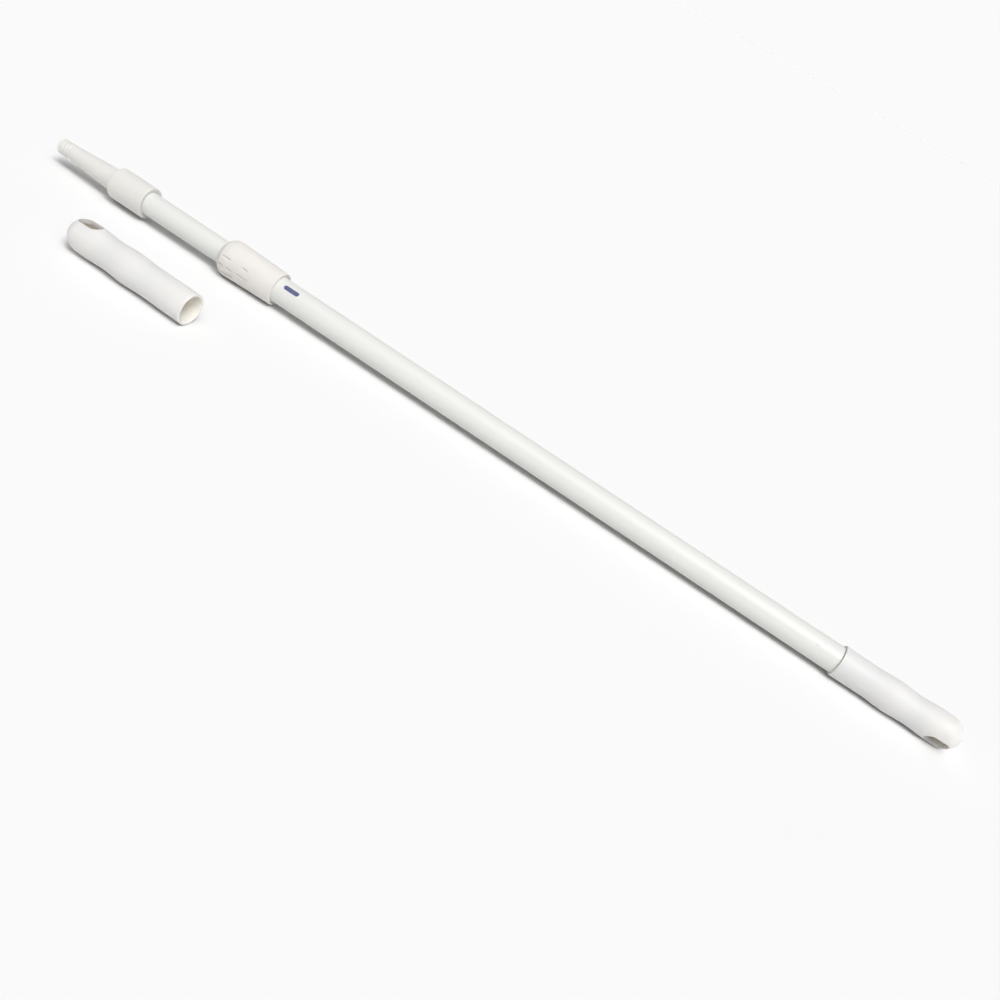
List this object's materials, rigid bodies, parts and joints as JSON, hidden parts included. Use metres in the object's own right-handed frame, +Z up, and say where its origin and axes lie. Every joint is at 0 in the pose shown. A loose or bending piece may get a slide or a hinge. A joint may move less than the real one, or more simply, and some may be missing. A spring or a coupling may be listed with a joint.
{
  "type": "telescopic extension pole",
  "caption": "Two-section telescopic pole with a threaded tool cone, a twist-lock sleeve, a hollow end grip with a hang hole, and a loose spare grip.",
  "frame": {"origin": "centre of the tool thread's shoulder, on the pole's axis, where a tool seats", "axes": "+X along the pole from the tool end to the end grip, +Z up from the floor the pole lies on, -Y towards the spare grip"},
  "size_m": [1.0792, 0.1592, 0.04],
  "materials": {
    "white_lacquer": "gloss white lacquer on thin steel tube",
    "white_plastic": "satin white moulded plastic",
    "grip_plastic": "matte white moulded plastic",
    "natural_nylon": "unpainted low-friction plastic",
    "zinc_rivet": "zinc-plated steel"
  },
  "bodies": {
    "outer_section": {"outer_tube": "white_lacquer", "stop_plug": "natural_nylon", "stop_rivet": "zinc_rivet", "outer_end_plug": "natural_nylon", "lock_body": "white_plastic", "lock_rivets": "zinc_rivet", "end_grip": "grip_plastic"},
    "clamp": {"collet": "natural_nylon", "slip_ring": "natural_nylon"},
    "twist_sleeve": {"lock_sleeve": "white_plastic"},
    "guides": {"guide_bush_upper": "natural_nylon", "guide_bush_lower": "natural_nylon"},
    "inner_section": {"inner_tube": "white_lacquer", "tool_cone": "white_plastic", "cone_collar": "white_plastic", "cone_pins": "zinc_rivet", "inner_end_plug": "natural_nylon"},
    "spare": {"spare_grip": "grip_plastic"}
  },
  "joints": [
    {"name": "pole_extend", "type": "slide", "parent": "outer_section", "child": "guides", "axis": [-1, 0, 0], "range_m": [-0.095, 0.44]},
    {"name": "inner_turn", "type": "hinge", "parent": "guides", "child": "inner_section", "pos_m": [0.674, 0, 0], "axis": [-1, 0, 0], "continuous": true},
    {"name": "clamp_slide", "type": "slide", "parent": "outer_section", "child": "clamp", "axis": [-1, 0, 0], "range_m": [0, 0.002]},
    {"name": "lock_twist", "type": "hinge", "parent": "clamp", "child": "twist_sleeve", "pos_m": [0.224, 0, 0], "axis": [-1, 0, 0], "range_deg": [0, 180]},
    {"name": "spare_lift", "type": "slide", "parent": "outer_section", "child": "spare", "axis": [0, 0, 1], "range_m": [0, 0.25]}
  ],
  "couplings": [
    {"joint": "lock_twist", "follows": "clamp_slide", "rad_per_m": 1570.8}
  ]
}
